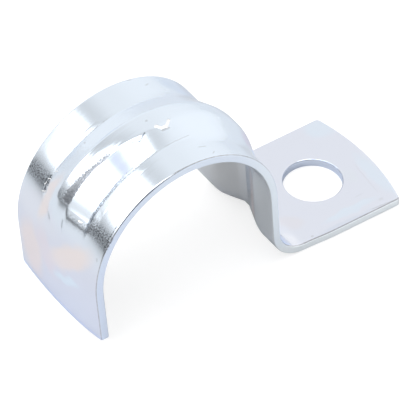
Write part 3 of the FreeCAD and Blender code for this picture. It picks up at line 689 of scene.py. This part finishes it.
def pillowing(tree, strip):
    """The bands beside the rib bulge a little, which slants the edge of the softbox in them."""
    middle = tree.ramp(strip.across, *BAND_SIDES, *BAND_MIDDLES)
    beside = tree.math("MAXIMUM", tree.math("ABSOLUTE", strip.across), BAND_START)
    from_middle = tree.math("SUBTRACT", beside, middle)
    bulge = tree.math("DIVIDE", tree.math("POWER", from_middle, 2.0), -2 * BAND_BULGE)
    return tree.product(bulge, strip.stretch(*BULGE_STRETCH), strip.outside)


# The sinking starts slowly, grows with the square of the way and ends at a depth
FALL_START, FALL_RATE, FALL_MOST = -13.2, 0.0095, 0.3
FALL_ACROSS = (-1.5, 2.0, 0.5)
FALL_END = (-24.0, -19.0)


def early_fall(tree, strip):
    """The crest begins to sink before the run-out."""
    beyond = tree.math("MAXIMUM", tree.math("SUBTRACT", FALL_START, strip.along), 0.0)
    fall = tree.math("MINIMUM", tree.product(tree.math("POWER", beyond, 2.0), FALL_RATE), FALL_MOST)
    crest = tree.band(strip.across, *FALL_ACROSS)
    return tree.product(fall, crest, strip.outside, tree.ramp(strip.along, *FALL_END), -1.0)


# Radius of the crest's rounding, where it starts across the strip and how wide it is
CREST_ROUND = 14.0
CREST_TURN, CREST_WIDTH = -0.6, 2.3
CREST_FADE = (1.7, 4.7)
CREST_STRETCH = (-9.2, -3.8, 2.8)


def crest_rounding(tree, strip):
    """The crest falls a little towards the back, past the middle of the arch."""
    over = run_past(tree, strip.across, CREST_TURN, CREST_WIDTH)
    fall = tree.math("DIVIDE", tree.math("POWER", over, 2.0), -2 * CREST_ROUND)
    back = tree.ramp(strip.across, *CREST_FADE, 1.0, 0.0)
    return tree.product(fall, back, strip.stretch(*CREST_STRETCH), strip.outside)


# Zinc plate: places of wear, and a painted dark reflection, as masks

# Half the width of a line, the softness of its sides and that of its ends
LINE_HALF, LINE_SOFT, LINE_END = 0.2, 0.1, 1.5


def base_line(tree, strip, middle, first, last):
    """A rough line that the die's edge left along one foot of the rib."""
    across = tree.math("SUBTRACT", tree.split(strip.scratchy)[1], middle)
    line = tree.band(across, -LINE_HALF, LINE_HALF, LINE_SOFT)
    return tree.product(line, strip.stretch(first, last, LINE_END), strip.outside)


# The line in front pales towards the top, and the one behind follows the rib's drift
FRONT_LINE = (-18.4, -3.5)
LINE_FADE, LINE_PALE = (-10.0, -4.0), 0.45
BACK_LINE = (-13.0, -4.0)
BACK_LINE_DRIFT, BACK_LINE_MIDDLE = (-19.0, -9.0), (5.25, 4.8)
BACK_LINE_SHARE = 0.4


def base_lines(tree, strip, flecks):
    """The rough lines along both feet of the rib, the one behind broken into flecks."""
    fading = tree.ramp(strip.along, *LINE_FADE, 1.0, LINE_PALE)
    front = tree.product(base_line(tree, strip, FRONT_FOOT, *FRONT_LINE), fading)
    middle = tree.ramp(strip.along, *BACK_LINE_DRIFT, *BACK_LINE_MIDDLE)
    back = tree.product(base_line(tree, strip, middle, *BACK_LINE), flecks, BACK_LINE_SHARE)
    return tree.math("MAXIMUM", front, back)


# The galled strip's two sides, which slant across the crest, and how soft they are. Its dark colour is
# partly wear and partly painted dark reflection.
UPPER_RUN, UPPER_SIDE, UPPER_SOFT = (-16.0, -7.0), (0.15, -1.25), (-0.5, 0.7)
LOWER_RUN, LOWER_SIDE, LOWER_SOFT = (-11.0, -8.0), (-1.5, -1.75), (-0.1, 0.15)
GALLED_AND_DARK_STRETCH = (-16.2, -7.3, 0.5)
CREST_GALLED_AND_DARK, CREST_ACROSS, CREST_SHARE = (-16.6, -14.9, 0.5), (-1.4, 1.3, 0.3), 0.4
SPECKLE_SHARE, SPECKLE_FADE = 0.45, (0.5, 0.95)


def galling_and_painted_dark(tree, strip, flecks):
    """Where the die wore the crest rough, along its front and before its run-out; the dark colour laid there
    is partly painted dark reflection.
    """
    upper = tree.ramp(strip.along, *UPPER_RUN, *UPPER_SIDE)
    lower = tree.ramp(strip.along, *LOWER_RUN, *LOWER_SIDE)
    under = tree.ramp(tree.math("SUBTRACT", strip.across, upper), *UPPER_SOFT, 1.0, 0.0)
    over = tree.ramp(tree.math("SUBTRACT", strip.across, lower), *LOWER_SOFT)
    along_front = tree.product(under, over, strip.stretch(*GALLED_AND_DARK_STRETCH))
    crest = tree.product(strip.stretch(*CREST_GALLED_AND_DARK), tree.band(strip.across, *CREST_ACROSS), CREST_SHARE)
    zone = tree.math("MAXIMUM", along_front, crest)
    speckled = tree.ramp(tree.total(zone, tree.product(flecks, SPECKLE_SHARE)), *SPECKLE_FADE)
    return tree.product(speckled, strip.outside)


# Where the torn zone lies across and along the strip, on the bands and on the front flank
BANDS_ACROSS, BANDS_TORN = (4.9, 5.6), (-17.9, -15.6, 0.7)
FLANK_ACROSS, FLANK_TORN, FLANK_SHARE = (-5.2, -1.8, 0.3), (-18.6, -17.1, 0.6), 0.5


def torn_zone(tree, strip):
    """The mottled plate over the sharpest bending: the bands' shoulder and the front flank's end."""
    bands = tree.ramp(tree.math("ABSOLUTE", strip.across), *BANDS_ACROSS)
    bands = tree.product(bands, strip.stretch(*BANDS_TORN))
    flank = tree.product(tree.band(strip.across, *FLANK_ACROSS), strip.stretch(*FLANK_TORN), FLANK_SHARE)
    return tree.product(tree.math("MAXIMUM", bands, flank), strip.outside)


# Fine noise: scale, detail and roughness, and the limits that turn it into spots
FLECK_NOISE, FLECK_LIMITS = (3.6, 3.0, 0.6), (0.4, 0.6)
GRIT_NOISE, GRIT_LIMITS = (5.4, 3.0, 0.6), (0.38, 0.62)


class Wear:
    """The places of wear, and the painted dark reflection along the crest, for the colour, the roughness and
    the height alike.
    """

    def __init__(self, tree, strip):
        self.flecks = tree.ramp(tree.noise(strip.flat, *FLECK_NOISE), *FLECK_LIMITS)
        self.grit = tree.ramp(tree.noise(strip.flat, *GRIT_NOISE), *GRIT_LIMITS)
        self.rubbed_and_painted_dark = galling_and_painted_dark(tree, strip, self.flecks)
        self.torn = torn_zone(tree, strip)
        self.lines = base_lines(tree, strip, self.flecks)


# Zinc plate: colour

COOL_FADE = (-24.0, -18.5)
# The foot's bowed end, the rolled edge on it and how blue that is
FOOT_END, FOOT_BOW = -37.6, 0.0147
ROLLED_EDGE, ROLLED_SHARE = (0.3, 1.1), 0.9


def tinted(tree, strip, colour):
    """Lays the interference colours and the painted highlight in the bend's inner corner over the plate."""
    for tint in TINTS:
        mask = strip.patch(tint["middle"], tint["half"], tint["tilt"])
        colour = tree.mix(tree.product(mask, tint["strength"], strip.outside), colour, tint["colour"])
    return colour


def outside_colour(tree, strip):
    """The outside's zinc with its tints, and the blue of the foot's rolled end."""
    outer = tree.mix(strip.flange, ARCH_ZINC, FLANGE_ZINC)
    outer = tree.mix(tree.ramp(strip.arch, *COOL_FADE, 1.0, 0.0), outer, COOL)
    outer = tinted(tree, strip, outer)
    bow = tree.product(strip.across, strip.across, FOOT_BOW)
    from_end = tree.math("SUBTRACT", strip.along, tree.total(bow, FOOT_END))
    return tree.mix(tree.ramp(from_end, *ROLLED_EDGE, ROLLED_SHARE, 0.0), outer, BLUE)


# Across the strip: a warmer band, and where the front's painted lighter zinc begins
WARM_ACROSS = (-5.0, -3.6, 0.5)
FRONT_ACROSS = (-5.7, -5.1)


def inside_colour(tree, strip):
    """The inside's zinc, painted darker as shade inside the arch, warmer in a band on the leg and painted
    paler at the front.
    """
    on_leg = tree.math("GREATER_THAN", strip.x, 0.0)
    warm = tree.product(tree.band(strip.across, *WARM_ACROSS), on_leg)
    inner = tree.mix(warm, INSIDE_SHADED_ZINC, INSIDE_WARM)
    return tree.mix(tree.ramp(strip.across, *FRONT_ACROSS, 1.0, 0.0), inner, INSIDE_FRONT_LIT)


# Where the cut face's tone changes, along x and then down the leg, as painted shade and light
FOOT_TO_ARCH, ARCH_TO_LEG = (-16.0, -2.0), (8.0, 15.0)
LEG_TO_BEND = (-8.0, -10.5)


def cut_colour(tree, strip):
    """The sheet's cut faces from the foot to the bend, with painted shade at the foot and painted light on
    the leg and near the floor, and the hole's wall.
    """
    # painted shade on the foot's cut face, painted light on the leg's
    cut_face = tree.mix(tree.ramp(strip.x, *FOOT_TO_ARCH), SHEARED_FOOT_SHADED, SHEARED)
    cut_face = tree.mix(tree.ramp(strip.x, *ARCH_TO_LEG), cut_face, SHEARED_LEG_LIT)
    on_leg = tree.math("GREATER_THAN", strip.x, 0.0)
    low = tree.product(tree.ramp(strip.z, *LEG_TO_BEND), on_leg)
    # painted light low on the leg, where the floor's shadow darkens the cut face
    cut_face = tree.mix(low, cut_face, SHEARED_LOW_LIT)
    return tree.mix(strip.bore, cut_face, HOLE_WALL)


# How strong the line on the front edge is, between and in the flecks
EDGE_SHARES = (0.45, 0.8)


def clean_colour(tree, strip, flecks):
    """The plate's colour before wear: outside, inside, cut faces and edges."""
    colour = tree.mix(strip.outside, inside_colour(tree, strip), outside_colour(tree, strip))
    colour = tree.mix(strip.sheared, colour, cut_colour(tree, strip))
    colour = tree.mix(strip.rim, colour, RIM)
    return tree.mix(tree.product(strip.front_edge, tree.blend(flecks, *EDGE_SHARES)), colour, EDGE_LINE)


LINE_SHARE, RUBBED_AND_DARK_SHARE, TORN_SHARE = 0.85, 0.97, 0.7


def wear_and_painted_dark_colour(tree, wear, colour):
    """Lays the rough lines, the galled strip with its painted dark reflection, and the torn zone over the
    clean plate.
    """
    scraped = tree.mix(wear.flecks, SCRAPED, GALLED_AND_PAINTED_DARK)
    galled_and_dark_colour = tree.mix(wear.grit, GALLED_AND_PAINTED_DARK, WORN_AND_PAINTED_DARK)
    colour = tree.mix(tree.product(wear.lines, LINE_SHARE), colour, scraped)
    # the galled strip: partly wear, partly painted dark reflection along the crest's front
    colour = tree.mix(tree.product(wear.rubbed_and_painted_dark, RUBBED_AND_DARK_SHARE), colour, galled_and_dark_colour)
    return tree.mix(tree.product(wear.torn, wear.flecks, TORN_SHARE), colour, GALLED_AND_PAINTED_DARK)


def marked(tree, strip, flecks, colour):
    """Lays the scratches, specks, scrapes and the painted shade under the bright tick over the plate, and
    tells where metal stands proud.
    """
    proud = 0.0
    for mark in MARKS:
        mask = strip.stroke(mark["start"], mark["end"], mark["width"])
        mask = tree.product(mask, mark["strength"], strip.outside)
        if mark["colour"] == GALLED_AND_PAINTED_DARK:
            mask = tree.product(mask, flecks)
        colour = tree.mix(mask, colour, mark["colour"])
        if mark["colour"] == BRIGHT:
            proud = tree.math("MAXIMUM", proud, mask)
    return colour, proud


# Zinc plate: roughness and height

# Streaks of rolling are long along the strip and fine across it
STREAK_ALONG, STREAK_ACROSS, STREAK_DETAIL = 0.12, 2.4, 3.0
GRAIN_SCALE, GRAIN_DETAIL = 9.0, 3.0
PLATE_ROUGHNESS, STREAK_ROUGHNESS, RUBBED_ROUGHNESS, PROUD_ROUGHNESS = 0.13, 0.08, 0.15, 0.3
LINE_HEIGHT, RUBBED_HEIGHT, TORN_HEIGHT, PROUD_HEIGHT = -0.02, -0.01, 0.006, 0.04
GRAIN_HEIGHT, STREAK_HEIGHT = 0.0006, 0.004


def rolling_streaks(tree, strip):
    along = tree.product(strip.arch, STREAK_ALONG)
    across = tree.product(strip.across, STREAK_ACROSS)
    return tree.noise(tree.join(along, across, strip.z), 1.0, STREAK_DETAIL)


def plate_roughness(tree, wear, proud, streaks):
    return tree.total(
        PLATE_ROUGHNESS,
        tree.product(streaks, STREAK_ROUGHNESS),
        tree.product(wear.rubbed_and_painted_dark, RUBBED_ROUGHNESS),
        tree.product(proud, PROUD_ROUGHNESS),
    )


def plate_height(tree, strip, wear, proud, streaks):
    """The fine forms, the wear and the grain together, in millimetres."""
    grain = tree.noise(strip.place, GRAIN_SCALE, GRAIN_DETAIL)
    return tree.total(
        crispness(tree, strip),
        soft_runout(tree, strip),
        pillowing(tree, strip),
        early_fall(tree, strip),
        crest_rounding(tree, strip),
        tree.product(wear.lines, wear.flecks, LINE_HEIGHT),
        tree.product(wear.rubbed_and_painted_dark, wear.flecks, RUBBED_HEIGHT),
        tree.product(wear.torn, wear.flecks, TORN_HEIGHT),
        tree.product(proud, PROUD_HEIGHT),
        tree.product(grain, GRAIN_HEIGHT),
        tree.product(streaks, STREAK_HEIGHT),
    )


def make_zinc():
    material = bpy.data.materials.new("zinc_plate")
    tree = Tree(material)
    strip = Strip(tree)
    wear = Wear(tree, strip)
    colour = wear_and_painted_dark_colour(tree, wear, clean_colour(tree, strip, wear.flecks))
    colour, proud = marked(tree, strip, wear.flecks, colour)
    streaks = rolling_streaks(tree, strip)

    bump = tree.node("ShaderNodeBump")
    bump.inputs["Distance"].default_value = 1.0
    height = plate_height(tree, strip, wear, proud, streaks)
    tree.feed(bump.inputs["Height"], tree.product(height, MM))

    shader = tree.node("ShaderNodeBsdfPrincipled")
    shader.inputs["Metallic"].default_value = 1.0
    shader.inputs["Specular Tint"].default_value = SHINE_TINT
    tree.feed(shader.inputs["Base Color"], colour)
    tree.feed(shader.inputs["Roughness"], plate_roughness(tree, wear, proud, streaks))
    tree.feed(shader.inputs["Normal"], bump.outputs[0])
    output = tree.node("ShaderNodeOutputMaterial")
    tree.feed(output.inputs["Surface"], shader.outputs[0])
    return material


def clear_defaults():
    """Takes out whatever the empty file brings with it."""
    for item in list(bpy.data.objects):
        if item.type in ("CAMERA", "LIGHT") or item.name == "Cube":
            bpy.data.objects.remove(item)


# The scene

clear_defaults()
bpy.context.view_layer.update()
strap = frame["nodes"]["strap"]
strap.material_slots[0].material = make_zinc()
make_world()
make_floor()
make_camera()
bpy.context.scene.view_settings.view_transform = "Standard"
